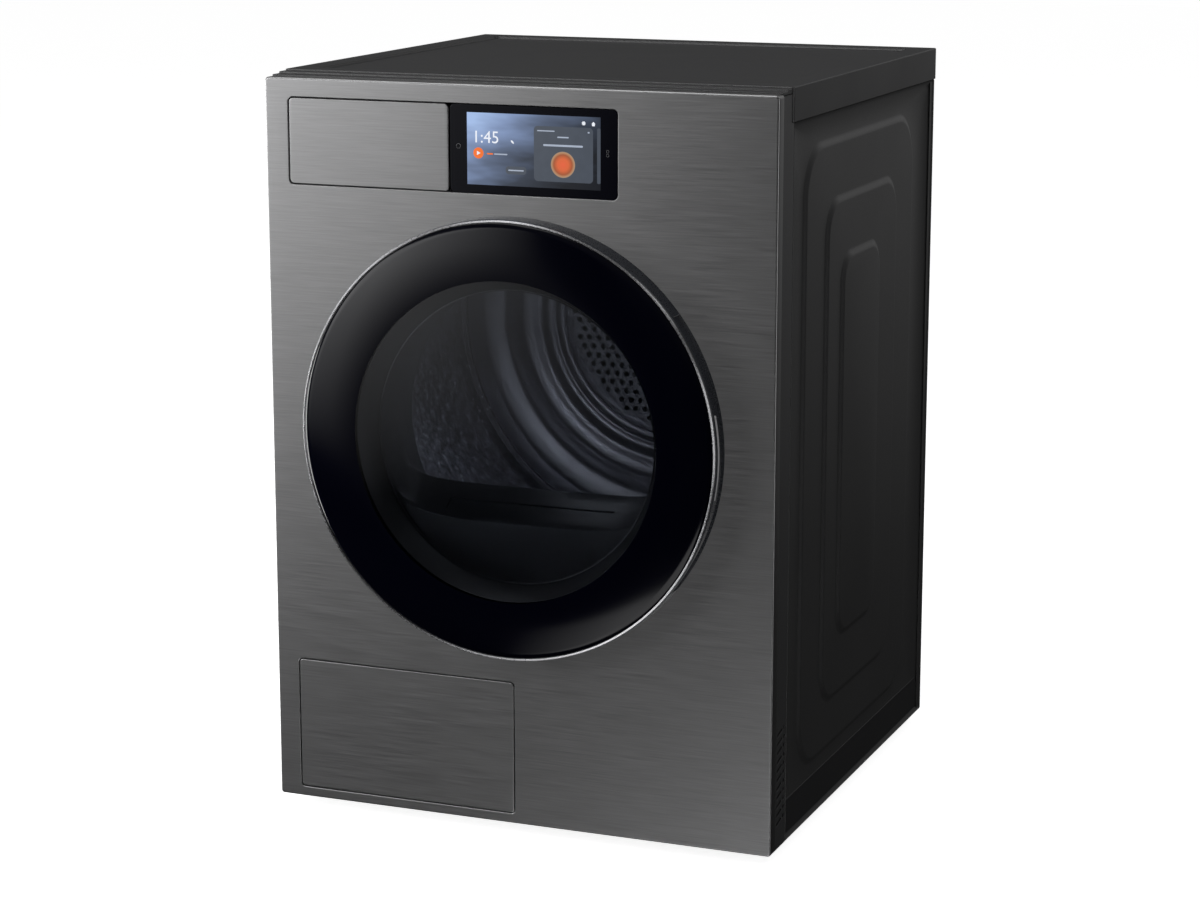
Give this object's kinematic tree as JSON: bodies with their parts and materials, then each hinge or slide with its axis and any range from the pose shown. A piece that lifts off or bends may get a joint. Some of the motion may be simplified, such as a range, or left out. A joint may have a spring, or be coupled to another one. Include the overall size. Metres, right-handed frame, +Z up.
{
  "type": "clothes dryer",
  "caption": "Free-standing heat-pump clothes dryer with a round dark glass door, touch display, tank drawer, service flap and driven drum.",
  "frame": {"origin": "on the floor under the middle of the whole dryer, door included", "axes": "+Z up, the front with the door faces -Y, +X to the right of someone facing the door"},
  "size_m": [0.6, 0.64, 0.85],
  "materials": {
    "steel_front": "fine horizontal brushing, dark tint",
    "dark_shell": "satin powder coat",
    "black_plastic": "fine moulded grain",
    "grey_plastic": "smooth moulded",
    "light_plastic": "smooth moulded",
    "door_glass": "dark tinted, polished",
    "window_glass": "clear, polished",
    "display": "black, polished",
    "drum_steel": "stainless, embossed",
    "zinc_steel": "zinc plated sheet",
    "bearing_steel": "ground",
    "aluminium": "mill finish",
    "machine_black": "black enamel over steel",
    "rubber": "matte",
    "felt": "pressed felt"
  },
  "bodies": {
    "cabinet": {"front_panel": "steel_front", "side_panel_left": "dark_shell", "side_panel_right": "dark_shell", "rear_panel": "dark_shell", "top_cover": "dark_shell", "top_front_trim": "dark_shell", "front_frame_left": "black_plastic", "front_frame_right": "black_plastic", "base_pan": "black_plastic", "control_housing": "black_plastic", "display_module": "black_plastic", "display_glass": "display", "tank_guide": "zinc_steel", "flap_surround": "black_plastic", "front_bulkhead": "zinc_steel", "filter_housing": "black_plastic", "front_drum_seal": "felt", "rear_bearing": "bearing_steel", "rear_bulkhead": "zinc_steel", "rear_duct_cover": "zinc_steel", "drive_belt": "rubber", "drive_motor": "aluminium", "fan_housing": "black_plastic", "compressor": "machine_black", "evaporator": "aluminium", "condenser": "aluminium", "condensate_pump": "grey_plastic", "power_inlet": "black_plastic", "foot_front_left": "rubber", "foot_front_right": "rubber", "foot_rear_left": "rubber", "foot_rear_right": "rubber", "hinge_bracket": "zinc_steel", "hinge_pin": "bearing_steel", "door_catch": "black_plastic"},
    "door": {"door_glass": "door_glass", "door_rim": "grey_plastic", "door_frame": "black_plastic", "door_window": "window_glass", "door_gasket": "rubber", "door_grip": "light_plastic", "door_hinge_leaf": "zinc_steel", "door_hook": "grey_plastic"},
    "tank_drawer": {"drawer_front": "steel_front", "water_tank": "grey_plastic"},
    "flap": {"service_flap": "steel_front"},
    "exchanger_filter": {"exchanger_filter": "grey_plastic"},
    "lint_filter": {"lint_filter": "grey_plastic"},
    "drum": {"drum_shell": "drum_steel", "drum_back": "drum_steel", "drum_lifter_1": "light_plastic", "drum_lifter_2": "light_plastic", "drum_lifter_3": "light_plastic", "drum_shaft": "bearing_steel"},
    "roller_left": {"support_roller_left": "rubber"},
    "roller_right": {"support_roller_right": "rubber"},
    "rotor": {"motor_shaft": "bearing_steel", "fan_impeller": "black_plastic"},
    "idler_arm": {"idler_arm": "zinc_steel"},
    "idler_pulley": {"idler_pulley": "light_plastic"}
  },
  "joints": [
    {"name": "door_hinge", "type": "hinge", "parent": "cabinet", "child": "door", "pos_m": [-0.23, -0.302, 0.461], "axis": [0, 0, -1], "range_deg": [0, 150]},
    {"name": "tank_drawer_slide", "type": "slide", "parent": "cabinet", "child": "tank_drawer", "axis": [0, -1, 0], "range_m": [0, 0.35]},
    {"name": "flap_hinge", "type": "hinge", "parent": "cabinet", "child": "flap", "pos_m": [-0.13825, -0.275, 0.0325], "axis": [1, 0, 0], "range_deg": [0, 75]},
    {"name": "exchanger_filter_slide", "type": "slide", "parent": "cabinet", "child": "exchanger_filter", "axis": [0, -1, 0], "range_m": [0, 0.024]},
    {"name": "lint_filter_slide", "type": "slide", "parent": "cabinet", "child": "lint_filter", "axis": [0, 0, 1], "range_m": [0, 0.14]},
    {"name": "drum_spin", "type": "hinge", "parent": "cabinet", "child": "drum", "pos_m": [0.002, 0, 0.514], "axis": [0, 1, 0], "continuous": true},
    {"name": "roller_left_spin", "type": "hinge", "parent": "cabinet", "child": "roller_left", "pos_m": [-0.16921, -0.194, 0.26948], "axis": [0, 1, 0], "continuous": true},
    {"name": "roller_right_spin", "type": "hinge", "parent": "cabinet", "child": "roller_right", "pos_m": [0.17321, -0.194, 0.26948], "axis": [0, 1, 0], "continuous": true},
    {"name": "rotor_spin", "type": "hinge", "parent": "cabinet", "child": "rotor", "pos_m": [0.19, 0.02, 0.115], "axis": [0, 1, 0], "continuous": true},
    {"name": "idler_arm_pivot", "type": "hinge", "parent": "cabinet", "child": "idler_arm", "pos_m": [0.0455, 0, 0.186], "axis": [0, -1, 0], "range_deg": [0, 6], "stiffness_Nm_per_rad": 8, "springref_deg": -8.59},
    {"name": "idler_pulley_spin", "type": "hinge", "parent": "idler_arm", "child": "idler_pulley", "pos_m": [0.105, -0.011, 0.15], "axis": [0, 1, 0], "continuous": true}
  ],
  "couplings": [
    {"joint": "roller_left_spin", "follows": "drum_spin", "ratio": -13.9},
    {"joint": "roller_right_spin", "follows": "drum_spin", "ratio": -13.9},
    {"joint": "rotor_spin", "follows": "drum_spin", "ratio": 25.273},
    {"joint": "idler_pulley_spin", "follows": "drum_spin", "ratio": 15.444}
  ]
}
